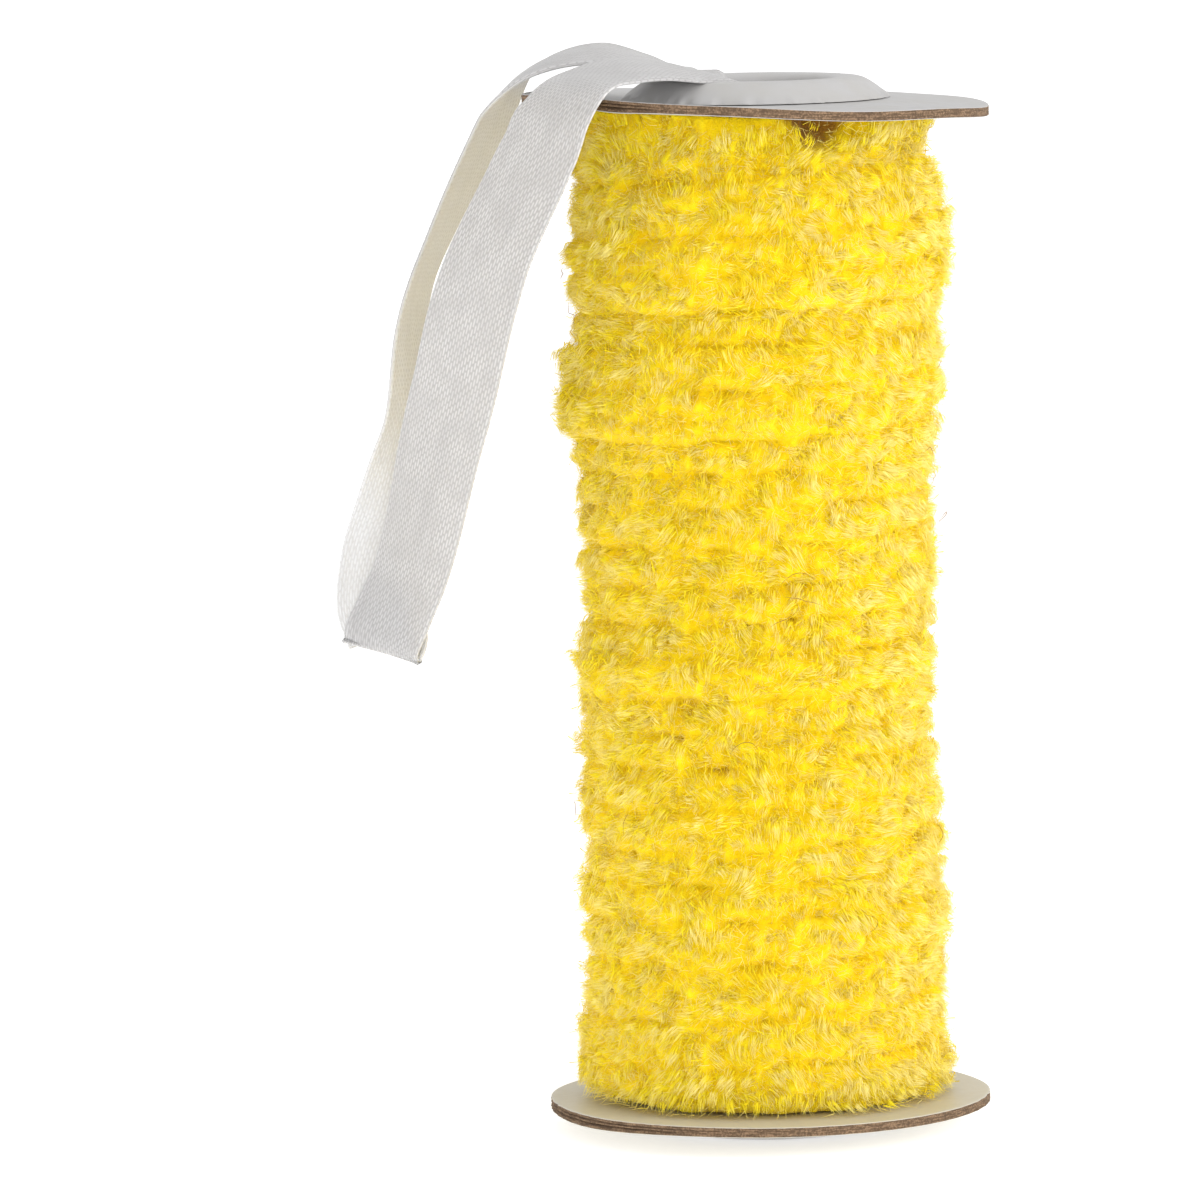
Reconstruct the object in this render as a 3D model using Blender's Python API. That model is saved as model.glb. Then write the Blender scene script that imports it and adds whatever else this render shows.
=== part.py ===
"""Plush yarn trim wound in one layer on a card spool, with a satin hanging loop.

The spool stands on end on a table, +Z up, and its front looks along -Y. The origin
is on the floor at the middle of the whole part's footprint. The loop hangs out to the
left, so the spool's own axis stands a little to the right of the origin, at AXIS_X.
All sizes here are in millimetres.
"""

import math

import bmesh
import bpy
from mathutils import Vector

MM = 0.001
AXIS_X = 10.2

# Spool: a card tube with a rolled collar at each end, and two card discs
GAP = 0.3
COLLAR_RISE = 2.2
DISC_THICKNESS = 1.0
SPOOL_OVER_DISCS = 101.6
BORE_RADIUS = 7.6
TUBE_RADIUS = 8.5
COLLAR_RADIUS = 13.45
REST_INNER_RADIUS = 9.2
REST_OUTER_RADIUS = 10.8
TOP_DISC_RADIUS = 23.4
BOTTOM_DISC_RADIUS = 22.25
DISC_HOLE_RADIUS = TUBE_RADIUS + GAP
BOTTOM_DISC_LOW = COLLAR_RISE
BOTTOM_DISC_HIGH = BOTTOM_DISC_LOW + DISC_THICKNESS
TOP_DISC_HIGH = COLLAR_RISE + SPOOL_OVER_DISCS
TOP_DISC_LOW = TOP_DISC_HIGH - DISC_THICKNESS
SPOOL_HEIGHT = TOP_DISC_HIGH + COLLAR_RISE
TUBE_SEGMENTS = 36
DISC_SEGMENTS = 64

# The top card has bent: it dips at the right and curls up at the front left
CARD_FLAT_RADIUS = 13.8
CARD_DIP = 0.75
CARD_CURL = 0.7
CARD_CURL_ANGLE = math.radians(-135)
CARD_CURL_SPREAD = math.radians(38)

# Winding: one helical layer of trim, rising to the right across the front
WINDING_LOW = BOTTOM_DISC_HIGH + GAP
WINDING_HIGH = 102.0
WINDING_BORE = TUBE_RADIUS + GAP
WINDING_COLUMNS = 32
LOW_END_RADIUS = 17.2
HIGH_END_RADIUS = 15.6
END_MARGIN = 0.12
FRONT_ANGLE = math.radians(-90)

# How far the rows of one turn lie under its reach: seam, shoulder, crown, shoulder
ROW_DEPTHS = (1.5, 0.35, 0.0, 0.35)

# Each turn from the bottom up: how much height it takes, and how far its pile reaches
TURNS = (
    # height, radius
    (4.8, 17.9),
    (4.7, 18.4),
    (5.8, 17.9),
    (4.4, 18.5),
    (3.5, 18.1),
    (3.5, 17.9),
    (4.2, 18.1),
    (4.2, 18.0),
    (3.3, 17.6),
    (3.8, 17.4),
    (3.9, 18.1),
    (3.6, 17.2),
    (3.6, 17.5),
    (4.0, 17.6),
    (4.0, 17.7),
    (3.5, 17.7),
    (3.5, 17.9),
    (4.9, 19.2),
    (4.3, 19.3),
    (3.7, 18.0),
    (3.6, 19.2),
    (3.6, 19.1),
    (5.6, 18.3),
    (5.6, 17.3),
)

# Hanging loop: a satin ribbon from the bore, over the rim, down, and back up again
RIBBON_WIDTH = 10.0
RIBBON_THICKNESS = 1.0
RIBBON_SPANS = 3

# Middle line of the ribbon, the bearing of its width in plan, and the rise of its width
RIBBON_ROUTE = (
    # x, y, z, bearing, rise
    (-2.2, -1.2, 90.0, -90, 0),
    (-2.2, -1.2, 97.0, -90, 0),
    (-2.3, -1.3, 103.5, -88, 0),
    (-2.9, -1.9, 106.3, -80, -2),
    (-4.8, -3.2, 107.9, -66, -6),
    (-8.0, -5.8, 108.6, -56, -12),
    (-11.6, -9.1, 108.2, -52, -10),
    (-15.1, -12.7, 107.4, -48, -5),
    (-18.0, -16.0, 106.2, -44, 0),
    (-20.1, -17.8, 103.6, -42, 0),
    (-21.8, -17.7, 100.0, -42, -4),
    (-23.7, -17.0, 96.4, -41, -4),
    (-25.9, -16.3, 91.9, -39, -2),
    (-27.5, -15.7, 87.8, -36, 0),
    (-29.1, -14.6, 82.6, -33, 0),
    (-30.7, -12.9, 76.0, -33, 0),
    (-32.1, -11.3, 70.0, -33, 0),
    (-34.9, -8.7, 58.4, -34, 0),
    (-37.2, -7.5, 53.2, -35, 0),
    (-38.7, -6.8, 50.9, -35, 0),
    (-38.9, -5.3, 49.4, -34, 0),
    (-38.3, -3.7, 50.8, -32, 0),
    (-38.5, -3.2, 54.4, -20, 0),
    (-37.7, -2.4, 59.6, 0, 0),
    (-36.1, -0.6, 65.8, 22, 0),
    (-34.9, 1.4, 71.4, 42, 0),
    (-34.3, 3.6, 80.4, 64, 0),
    (-33.3, 4.8, 86.0, 72, 0),
    (-30.8, 5.7, 92.4, 70, 0),
    (-27.6, 6.1, 99.6, 69, 0),
    (-25.8, 6.2, 103.2, 72, 0),
    (-23.6, 5.5, 106.0, 79, 4),
    (-20.2, 4.1, 107.9, 83, 7),
    (-15.2, 2.6, 108.6, 85, 8),
    (-11.6, 1.6, 108.0, 87, 5),
    (-8.6, 0.8, 107.3, 89, 2),
    (-6.1, 0.2, 106.5, 90, 0),
    (-4.5, 0.0, 104.6, 90, 0),
    (-4.3, 0.0, 102.0, 90, 0),
    (-4.3, 0.0, 97.0, 90, 0),
    (-4.3, 0.0, 90.0, 90, 0),
)

PAPER_WHITE = (0.86, 0.85, 0.83)
CARD_WHITE = (0.82, 0.80, 0.74)
YARN_YELLOW = (0.92, 0.66, 0.02)
SATIN_WHITE = (0.88, 0.87, 0.85)


def clear_scene():
    for thing in list(bpy.data.objects):
        bpy.data.objects.remove(thing, do_unlink=True)


def make_material(name, colour, roughness):
    material = bpy.data.materials.new(name)
    material.use_nodes = True
    shader = material.node_tree.nodes["Principled BSDF"]
    shader.inputs["Base Color"].default_value = (*colour, 1.0)
    shader.inputs["Roughness"].default_value = roughness
    shader.inputs["Metallic"].default_value = 0.0
    return material


def add_object(name, points, faces, material, smooth_angle=40):
    """Make one closed body from points about the spool's axis, with its faces pointing out."""
    mesh = bpy.data.meshes.new(name)
    mesh.from_pydata([Vector(point) * MM for point in points], [], faces)
    body = bmesh.new()
    body.from_mesh(mesh)
    bmesh.ops.recalc_face_normals(body, faces=body.faces)
    bmesh.ops.triangulate(body, faces=body.faces)
    body.to_mesh(mesh)
    body.free()
    mesh.shade_smooth()
    mesh.set_sharp_from_angle(angle=math.radians(smooth_angle))
    mesh.materials.append(material)
    thing = bpy.data.objects.new(name, mesh)
    thing.location.x = AXIS_X * MM
    bpy.context.scene.collection.objects.link(thing)
    return thing


def ring_faces(ring_count, segments):
    """Quads between rings of points, with the last ring joined to the first."""
    faces = []
    for ring in range(ring_count):
        here = ring * segments
        above = (ring + 1) % ring_count * segments
        for i in range(segments):
            j = (i + 1) % segments
            faces.append((here + i, here + j, above + j, above + i))
    return faces


def collar_profile():
    """Radius and height over the disc's face, from the bore over the roll to the tube's wall."""
    return (
        (BORE_RADIUS, 0.0),
        (BORE_RADIUS + 0.05, 1.1),
        (BORE_RADIUS + 0.4, 1.8),
        (REST_INNER_RADIUS, COLLAR_RISE),
        (REST_OUTER_RADIUS, COLLAR_RISE),
        (12.0, 1.85),
        (13.0, 1.15),
        (COLLAR_RADIUS, GAP + 0.25),
        (COLLAR_RADIUS - 0.1, GAP),
        (TUBE_RADIUS, GAP),
    )


def build_core_tube():
    top = [(radius, TOP_DISC_HIGH + rise) for radius, rise in collar_profile()]
    bottom = [(radius, BOTTOM_DISC_LOW - rise) for radius, rise in reversed(collar_profile())]
    profile = top + bottom
    points = []
    for radius, height in profile:
        for i in range(TUBE_SEGMENTS):
            angle = 2 * math.pi * i / TUBE_SEGMENTS
            points.append((radius * math.cos(angle), radius * math.sin(angle), height))
    faces = ring_faces(len(profile), TUBE_SEGMENTS)
    return add_object("core_tube", points, faces, make_material("collar_paper", PAPER_WHITE, 0.25))


def card_flat(radius, angle):
    """The bottom card lies flat."""
    return 0.0


def card_bend(radius, angle):
    """How far the top card has bent up at a place."""
    reach = max(0.0, (radius - CARD_FLAT_RADIUS) / (TOP_DISC_RADIUS - CARD_FLAT_RADIUS))
    away = math.remainder(angle - CARD_CURL_ANGLE, 2 * math.pi)
    curl = CARD_CURL * math.exp(-((away / CARD_CURL_SPREAD) ** 2))
    return reach * (curl - CARD_DIP * math.cos(angle))


def build_disc(name, radius, low, high, bend, material):
    radii = [DISC_HOLE_RADIUS, CARD_FLAT_RADIUS, (CARD_FLAT_RADIUS + radius) / 2, radius]
    rings = [(ring_radius, high) for ring_radius in radii]
    rings += [(ring_radius, low) for ring_radius in reversed(radii)]
    points = []
    for ring_radius, height in rings:
        for i in range(DISC_SEGMENTS):
            angle = 2 * math.pi * i / DISC_SEGMENTS
            height_here = height + bend(ring_radius, angle)
            points.append((ring_radius * math.cos(angle), ring_radius * math.sin(angle), height_here))
    return add_object(name, points, ring_faces(len(rings), DISC_SEGMENTS), material)


def build_discs():
    material = make_material("disc_card", CARD_WHITE, 0.45)
    build_disc("disc_bottom", BOTTOM_DISC_RADIUS, BOTTOM_DISC_LOW, BOTTOM_DISC_HIGH, card_flat, material)
    build_disc("disc_top", TOP_DISC_RADIUS, TOP_DISC_LOW, TOP_DISC_HIGH, card_bend, material)


def seam_heights():
    """Heights of the seams at the front, from the bottom of the winding to its top."""
    scale = (WINDING_HIGH - WINDING_LOW) / sum(height for height, radius in TURNS)
    heights = [WINDING_LOW]
    for height, radius in TURNS:
        heights.append(heights[-1] + height * scale)
    return heights


def blend_rows(values, place):
    """Read a list between its entries."""
    place = min(max(place, 0.0), len(values) - 1.0)
    low = min(int(place), len(values) - 2)
    return values[low] + (values[low + 1] - values[low]) * (place - low)


def build_yarn_winding():
    """A spiral surface with four rows to a turn, closed by a flat end near each disc."""
    heights = seam_heights()
    reaches = [radius for height, radius in TURNS]
    points = []

    def add_point(radius, angle, height):
        points.append((radius * math.cos(angle), radius * math.sin(angle), height))
        return len(points) - 1

    # The columns start at the back, so that each seam crosses the front at its own height
    columns = []
    rows = len(ROW_DEPTHS)
    for i in range(WINDING_COLUMNS):
        lead = i / WINDING_COLUMNS - 0.5
        angle = FRONT_ANGLE + 2 * math.pi * lead
        column = {}
        for row in range(-rows, (len(TURNS) + 1) * rows):
            turns_up = row / rows + lead
            if END_MARGIN < turns_up < len(TURNS) - END_MARGIN:
                reach = blend_rows(reaches, row // rows + lead) - ROW_DEPTHS[row % rows]
                column[row] = add_point(reach, angle, blend_rows(heights, turns_up))
        low_end = add_point(LOW_END_RADIUS, angle, WINDING_LOW)
        high_end = add_point(HIGH_END_RADIUS, angle, WINDING_HIGH)
        low_bore = add_point(WINDING_BORE, angle, WINDING_LOW)
        high_bore = add_point(WINDING_BORE, angle, WINDING_HIGH)
        columns.append((column, (low_end, high_end), (low_bore, high_bore)))

    faces = []
    for i in range(WINDING_COLUMNS):
        left, left_ends, left_bore = columns[i]
        right, right_ends, right_bore = columns[(i + 1) % WINDING_COLUMNS]
        shift = rows if i == WINDING_COLUMNS - 1 else 0
        shared = sorted(row for row in left if row + shift in right)
        for row in shared[:-1]:
            faces.append((left[row], right[row + shift], right[row + shift + 1], left[row + 1]))
        below = [left[row] for row in sorted(left) if row <= shared[0]]
        below += [right[row] for row in sorted(right, reverse=True) if row <= shared[0] + shift]
        faces.append((left_ends[0], *below, right_ends[0]))
        above = [left[row] for row in sorted(left, reverse=True) if row >= shared[-1]]
        above += [right[row] for row in sorted(right) if row >= shared[-1] + shift]
        faces.append((left_ends[1], *above, right_ends[1]))
        faces.append((left_ends[0], right_ends[0], right_bore[0], left_bore[0]))
        faces.append((left_ends[1], right_ends[1], right_bore[1], left_bore[1]))
        faces.append((left_bore[0], right_bore[0], right_bore[1], left_bore[1]))
    material = make_material("plush_yarn", YARN_YELLOW, 0.95)
    return add_object("yarn_winding", points, faces, material, smooth_angle=60)


def smooth_route(rows, spans):
    """Points on a smooth curve through the rows, which it passes through at even shares."""
    route = []
    vectors = [Vector(row) for row in rows]
    for i in range(len(vectors) - 1):
        before = vectors[max(i - 1, 0)]
        here = vectors[i]
        there = vectors[i + 1]
        after = vectors[min(i + 2, len(vectors) - 1)]
        for step in range(spans):
            part = step / spans
            bend_in = (there - before) / 2
            bend_out = (after - here) / 2
            turn = here * (2 * part**3 - 3 * part**2 + 1) + there * (3 * part**2 - 2 * part**3)
            turn += bend_in * (part**3 - 2 * part**2 + part) + bend_out * (part**3 - part**2)
            route.append(turn)
    route.append(vectors[-1])
    return route


def build_ribbon_loop():
    """One flat strip of constant width, whose two ends are glued inside the bore."""
    places = smooth_route([row[:3] for row in RIBBON_ROUTE], RIBBON_SPANS)
    turns = smooth_route([(row[3], row[4]) for row in RIBBON_ROUTE], RIBBON_SPANS)
    points = []
    for i, place in enumerate(places):
        along = (places[min(i + 1, len(places) - 1)] - places[max(i - 1, 0)]).normalized()
        bearing = math.radians(turns[i][0])
        rise = math.radians(turns[i][1])
        plan = Vector((math.cos(bearing), math.sin(bearing), 0)) * math.cos(rise)
        across = plan + Vector((0, 0, math.sin(rise)))
        across = (across - along * across.dot(along)).normalized()
        outward = along.cross(across)
        side = across * RIBBON_WIDTH / 2
        skin = outward * RIBBON_THICKNESS / 2
        points += [place - side - skin, place + side - skin, place + side + skin, place - side + skin]
    faces = [(0, 1, 2, 3)]
    for i in range(len(places) - 1):
        for j in range(4):
            k = (j + 1) % 4
            faces.append((4 * i + j, 4 * i + k, 4 * i + 4 + k, 4 * i + 4 + j))
    last = 4 * (len(places) - 1)
    faces.append((last, last + 1, last + 2, last + 3))
    return add_object("ribbon_loop", points, faces, make_material("satin_ribbon", SATIN_WHITE, 0.35))


def main():
    clear_scene()
    build_core_tube()
    build_discs()
    build_yarn_winding()
    build_ribbon_loop()


main()
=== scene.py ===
"""Looks of a plush yarn trim on a card spool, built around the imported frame.

The file is laid out as an add-on: settings, one operator for each group of pieces
and one panel. Lengths in the tables and settings are in millimetres about the
spool's own axis, and the last step of each piece turns them into metres.
"""

import math

import bpy
import numpy as np
from bpy.props import FloatProperty, FloatVectorProperty, IntProperty, PointerProperty
from mathutils import Matrix, Vector


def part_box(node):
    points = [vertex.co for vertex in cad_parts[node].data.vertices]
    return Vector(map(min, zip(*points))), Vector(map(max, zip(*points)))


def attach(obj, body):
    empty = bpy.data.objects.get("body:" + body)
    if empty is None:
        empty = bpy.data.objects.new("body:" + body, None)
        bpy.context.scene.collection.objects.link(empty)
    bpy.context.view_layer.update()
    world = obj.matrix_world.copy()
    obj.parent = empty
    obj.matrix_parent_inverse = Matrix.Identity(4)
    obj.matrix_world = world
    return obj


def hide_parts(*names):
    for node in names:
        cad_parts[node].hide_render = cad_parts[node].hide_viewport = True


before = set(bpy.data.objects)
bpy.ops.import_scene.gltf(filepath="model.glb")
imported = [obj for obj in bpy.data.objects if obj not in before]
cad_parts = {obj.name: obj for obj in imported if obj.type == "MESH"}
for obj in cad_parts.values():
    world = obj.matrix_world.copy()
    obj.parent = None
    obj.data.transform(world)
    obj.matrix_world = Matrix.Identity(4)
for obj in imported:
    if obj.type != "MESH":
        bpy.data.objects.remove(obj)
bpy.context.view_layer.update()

bl_info = {
    "name": "Plush trim on a card spool",
    "version": (1, 0, 0),
    "blender": (4, 5, 0),
    "location": "3D View > Sidebar > Trim spool",
    "description": "Builds the pile, card, paper and ribbon of a spool of plush trim",
    "category": "Object",
}

MM = 0.001
BODY = "root"


def box_mm(node):
    """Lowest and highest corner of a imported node, in millimetres."""
    low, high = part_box(node)
    return np.array(low) / MM, np.array(high) / MM


TUBE_LOW, TUBE_HIGH = box_mm("core_tube")
BOTTOM_LOW, BOTTOM_HIGH = box_mm("disc_bottom")
TOP_LOW, TOP_HIGH = box_mm("disc_top")

# The spool's axis stands at AXIS_X in the frame, and heights are the frame's own
AXIS_X = (TUBE_LOW[0] + TUBE_HIGH[0]) / 2
COLLAR_RADIUS = (TUBE_HIGH[0] - TUBE_LOW[0]) / 2
BOTTOM_DISC_RADIUS = (BOTTOM_HIGH[0] - BOTTOM_LOW[0]) / 2
TOP_DISC_RADIUS = (TOP_HIGH[0] - TOP_LOW[0]) / 2
CARD_THICKNESS = BOTTOM_HIGH[2] - BOTTOM_LOW[2]
COLLAR_RISE = BOTTOM_LOW[2]
TOP_FACE = TUBE_HIGH[2] - COLLAR_RISE
BOTTOM_FACE = BOTTOM_HIGH[2]
BORE_RADIUS = 7.6
TUBE_RADIUS = 8.5
INNER_RADIUS = TUBE_RADIUS + 0.05
ROLL_RADIUS = 9.0
RIM_RADIUS = 12.6
COLLAR_OUTLINE = (
    # radius, height over the disc
    (BORE_RADIUS, 0.0),
    (BORE_RADIUS + 0.03, 1.2),
    (BORE_RADIUS + 0.3, 1.9),
    (8.6, 2.17),
    (9.8, COLLAR_RISE),
    (10.8, 2.06),
    (11.7, 1.58),
    (12.5, 1.0),
    (13.15, 0.45),
    (COLLAR_RADIUS - 0.02, 0.1),
)
TUBE_SEGMENTS = 192
DISC_SEGMENTS = 320
FRONT_ANGLE = math.radians(-90)

# The top card has bent: it dips at the right and curls up at the front left
CARD_FLAT_RADIUS = 13.8
CARD_DIP = 0.75
CARD_CURL = 0.7
CARD_CURL_ANGLE = math.radians(-135)
CARD_CURL_SPREAD = math.radians(38)
EDGE_ROWS = (
    # share of the thickness from the top, pull in, share of the split
    (0.06, 0.02, 0.0),
    (0.13, 0.05, 0.0),
    (0.24, 0.02, 0.0),
    (0.34, 0.03, 0.2),
    (0.40, 0.06, 2.2),
    (0.46, 0.02, 0.3),
    (0.58, 0.04, 0.1),
    (0.66, 0.06, 2.6),
    (0.73, 0.02, 0.4),
    (0.87, 0.05, 0.2),
    (0.94, 0.0, 0.0),
)

# Winding, one helical layer that rises to the right across the front
WINDING_LOW, WINDING_HIGH = (corner[2] for corner in box_mm("yarn_winding"))
LOW_END_RADIUS = 18.4
HIGH_END_RADIUS = 18.2
BARE_ANGLE = math.radians(-66)
BARE_SPREAD = math.radians(12)
TURNS = (
    # height, radius, more at the left, more at the right
    (4.8, 17.9, 1.7, 0.6),
    (4.7, 18.4, 0.8, -0.4),
    (5.8, 17.9, 0.8, 0.0),
    (4.4, 18.5, 0.0, 0.3),
    (3.5, 18.1, 1.0, -0.5),
    (3.5, 17.9, 0.5, 0.2),
    (4.2, 18.1, 0.6, -0.1),
    (4.2, 18.0, 0.8, -0.4),
    (3.3, 17.6, 1.0, -0.7),
    (3.8, 17.4, 1.1, -0.5),
    (3.9, 18.1, 1.3, -0.3),
    (3.6, 17.2, 0.8, -0.3),
    (3.6, 17.5, 0.8, 0.1),
    (4.0, 17.6, 0.8, 0.1),
    (4.0, 17.7, 0.9, -0.5),
    (3.5, 17.7, 0.7, 0.0),
    (3.5, 17.9, 1.2, -0.3),
    (4.9, 19.2, 1.9, -0.6),
    (4.3, 19.3, 0.5, -0.7),
    (3.7, 18.0, 0.5, 0.2),
    (3.6, 19.2, 0.5, 0.1),
    (3.6, 19.1, 0.1, 0.6),
    (5.6, 18.3, 0.4, 0.7),
    (5.6, 17.3, 0.9, -0.3),
)

# How far the blades of the fibres turn their flat side outward
FIBRE_FACING = 1.3

# Middle radius of the pile, and waves added up at each wavelength
PILE_RADIUS = 18.0
WAVES_EACH = 5

# Pile: the ground's depth under the tips, a tuft's radius at its roots, bands up the spool,
# gaps over the bottom card, and how far in a fibre goes where the tube is bare
GROUND_DEPTH = 1.0
GROUND_ROWS = 200
GROUND_COLUMNS = 340
TUFT_RADIUS = 0.5
BANDS = 5
ROOT_GAP = 0.2
TIP_GAP = 0.06
OUT_OF_SIGHT = 9.0
LOOSE_WIDTH = 0.07
HAIR_STEPS = 14
HAIR_HALF_WIDTH = 0.035
PILE_FINISH = {"Roughness": 0.9, "Specular IOR Level": 0.05, "Sheen Weight": 0.16, "Sheen Roughness": 0.5}

# Small shaded hollows in the front of the pile
HOLLOWS = (
    # degrees to the right of the front, height, radius
    (14.0, 88.3, 0.9),
    (-4.0, 85.6, 1.2),
    (28.0, 76.3, 0.8),
    (20.0, 74.6, 0.7),
    (-40.0, 64.4, 0.8),
    (-29.0, 61.6, 1.0),
    (-36.0, 96.6, 1.3),
    (-26.0, 72.8, 0.9),
    (8.0, 52.9, 0.7),
    (-18.0, 38.2, 0.8),
    (31.0, 33.0, 0.9),
    (-9.0, 20.4, 0.7),
)

# Middle line of the ribbon, the bearing of its width in plan, and the rise of its width
RIBBON_WIDTH = 10.0
RIBBON_ROUTE = (
    # x, y, z, bearing, rise
    (-2.2, -1.2, 90.0, -90, 0),
    (-2.2, -1.2, 97.0, -90, 0),
    (-2.3, -1.3, 103.5, -88, 0),
    (-2.6, -1.7, 105.4, -80, 0),
    (-4.6, -3.1, 106.5, -66, -4),
    (-8.0, -5.8, 107.3, -56, -11),
    (-11.6, -9.1, 107.7, -52, -10),
    (-15.1, -12.7, 107.2, -48, -5),
    (-18.0, -16.0, 106.2, -44, 0),
    (-20.1, -17.8, 103.6, -42, 0),
    (-21.8, -17.7, 100.0, -42, -4),
    (-23.7, -17.0, 96.4, -41, -4),
    (-25.9, -16.3, 91.9, -39, -2),
    (-27.5, -15.7, 87.8, -36, 0),
    (-29.1, -14.6, 82.6, -34, 0),
    (-30.7, -12.9, 76.0, -35, 0),
    (-32.3, -11.3, 70.0, -37, 0),
    (-35.2, -8.9, 58.8, -43, -1),
    (-36.9, -8.0, 54.2, -43, -6),
    (-38.2, -7.3, 51.0, -42, -8),
    (-38.3, -6.9, 49.6, -40, -9),
    (-37.7, -6.3, 50.9, -40, -9),
    (-38.4, -5.2, 54.0, -37, -6),
    (-37.6, -3.1, 58.4, -20, 0),
    (-36.1, -1.8, 62.2, 4, 0),
    (-35.1, -0.3, 66.6, 26, 0),
    (-34.5, 1.4, 71.8, 48, 0),
    (-34.9, 3.6, 80.4, 72, 0),
    (-34.0, 4.8, 86.0, 77, 0),
    (-31.3, 5.7, 92.4, 74, 0),
    (-27.6, 6.1, 99.6, 69, 0),
    (-25.8, 6.2, 103.2, 72, 0),
    (-23.6, 5.5, 106.2, 79, 5),
    (-20.2, 4.1, 107.9, 83, 7),
    (-15.8, 2.8, 108.6, 85, 8),
    (-11.6, 1.6, 107.9, 87, 5),
    (-8.6, 0.8, 107.0, 89, 2),
    (-6.1, 0.2, 106.5, 90, 0),
    (-4.5, 0.0, 104.6, 90, 0),
    (-4.3, 0.0, 102.0, 90, 0),
    (-4.3, 0.0, 97.0, 90, 0),
    (-4.3, 0.0, 90.0, 90, 0),
)

# Ribbon: flat ends in the bore, and a little thicker along the selvedges
IN_BORE = 14.0
SELVEDGE_PLACE = 4.72
SELVEDGE_WIDTH = 0.16
THIN_CLOTH = {"Subsurface Weight": 0.8, "Subsurface Radius": (1.0, 1.0, 1.0), "Subsurface Scale": MM}

# Satin's floating threads: spacing, length, and each column's shift as a share of a length
THREAD_PITCH = 0.3
THREAD_LENGTH = 1.0
THREAD_STAGGER = 0.45

# Tints of the finishes against their settings
STAIN_TINT = (0.93, 0.91, 0.84)
FIBRE_LIFT = 2.3
BOARD_DUST = (0.06, 0.045, 0.03)
# The satin's floating threads are painted lighter than the ground: a painted highlight on each face
SHINE_TINT = (1.5, 1.51, 1.52)
CELL_TINT = (1.28, 1.3, 1.33)

# Studio, in metres
FLOOR_REACH = 4.0
FLOOR_FINISH = {
    "Base Color": (0.93, 0.93, 0.93, 1.0),
    "Roughness": 0.9,
    "Specular IOR Level": 0.1,
    "Emission Color": (1.0, 1.0, 1.0, 1.0),
    "Emission Strength": 0.4,
}
LIGHT_SIZE = 0.5
LIGHT_TARGET_HEIGHT = 0.06
KEY_PLACE = (1.0, -0.5, 0.5)
KEY_COLOUR = (1.0, 0.99, 0.97)
FILL_PLACE = (-0.1, -1.0, 0.16)
FILL_COLOUR = (0.98, 0.99, 1.0)


def colour_setting(name, description, default):
    return FloatVectorProperty(name=name, description=description, subtype="COLOR", default=default)


def length_setting(name, description, default):
    return FloatProperty(name=name, description=description + ", in mm", default=default)


def count_setting(name, description, default):
    return IntProperty(name=name, description=description, default=default)


def tilt_setting(name, description, degrees):
    return FloatProperty(name=name, description=description, subtype="ANGLE", default=math.radians(degrees))


class TrimSettings(bpy.types.PropertyGroup):
    """Pile of the wound trim."""

    locks: count_setting("Locks", "Tufts of pile over the whole winding", 17000)
    fibres_per_lock: count_setting("Fibres per lock", "Fibres in one tuft", 17)
    fibre_length: length_setting("Fibre length", "Length of a tuft's fibres", 1.7)
    fibre_width: length_setting("Fibre width", "Width of a fibre at its widest", 0.075)
    seam_depth: length_setting("Seam depth", "Depth of the valley between turns", 1.5)
    short_fibres: count_setting("Short fibres", "Matted fibres between the tufts", 90000)
    loose_fibres: count_setting("Loose fibres", "Fine fibres that stand proud", 42000)
    hairs: count_setting("Hairs", "Thin dark hairs that lie over the pile", 36)
    hollows: count_setting("Hollows", "Small hollows round the back and sides", 26)
    # Pale, middle and deep run from a fibre's tip down into the pile: partly the yarn's own colour, partly
    # painted light, paler where the pile stands out and deeper low in it
    pale: colour_setting("Pale", "Colour of the fibre tips", (0.99, 0.85, 0.27))
    middle: colour_setting("Middle", "Main colour of the pile", (0.99, 0.825, 0.02))
    deep: colour_setting("Deep", "Colour low in the pile", (0.97, 0.70, 0.005))
    # Shade is painted shade in the seams and hollows, and also the brown of the bare tube and the colour of
    # the dark hairs
    shade: colour_setting("Shade", "Colour in the hollows", (0.40, 0.19, 0.02))


class CardSettings(bpy.types.PropertyGroup):
    """Card discs and paper collars."""

    paper: colour_setting("Paper", "White paper on the card", (0.53, 0.522, 0.52))
    # The bottom card's paper is the same paper painted creamier and lighter: painted yellow light bounced
    # down from the pile
    painted_bounce_paper: colour_setting("Lower paper", "Creamier paper on the bottom card", (0.64, 0.605, 0.515))
    board: colour_setting("Board", "Cut edge of the card", (0.12, 0.074, 0.042))
    kraft: colour_setting("Kraft", "Outside of the tube", (0.30, 0.17, 0.07))
    split: length_setting("Split", "How far the edge's layers part", 0.5)


class RibbonSettings(bpy.types.PropertyGroup):
    """Satin hanging loop."""

    thickness: length_setting("Thickness", "Thickness of the ribbon", 0.34)
    cup: length_setting("Cup", "How far the edges turn in", 0.35)
    satin: colour_setting("Satin", "Shiny face", (0.455, 0.445, 0.442))
    back: colour_setting("Back", "Matte face", (0.60, 0.592, 0.585))


class StudioSettings(bpy.types.PropertyGroup):
    """Floor, lights and camera."""

    distance: length_setting("Distance", "Camera to the spool's axis", 902.6)
    height: length_setting("Height", "Camera over the floor", 149.9)
    aside: length_setting("Aside", "Camera's place across, from the axis", -16.4)
    pitch: tilt_setting("Pitch", "Downward tilt", 6.088)
    roll: tilt_setting("Roll", "Sideways tilt", 1.011)
    lens: FloatProperty(name="Lens", description="Focal length on a 36 mm sensor", default=270.4)
    key: FloatProperty(name="Key", description="Strength of the main light, in watts", default=4.6)
    fill: FloatProperty(name="Fill", description="Strength of the front light, in watts", default=2.2)
    sky: FloatProperty(name="Sky", description="Strength of the even light", default=0.84)


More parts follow.
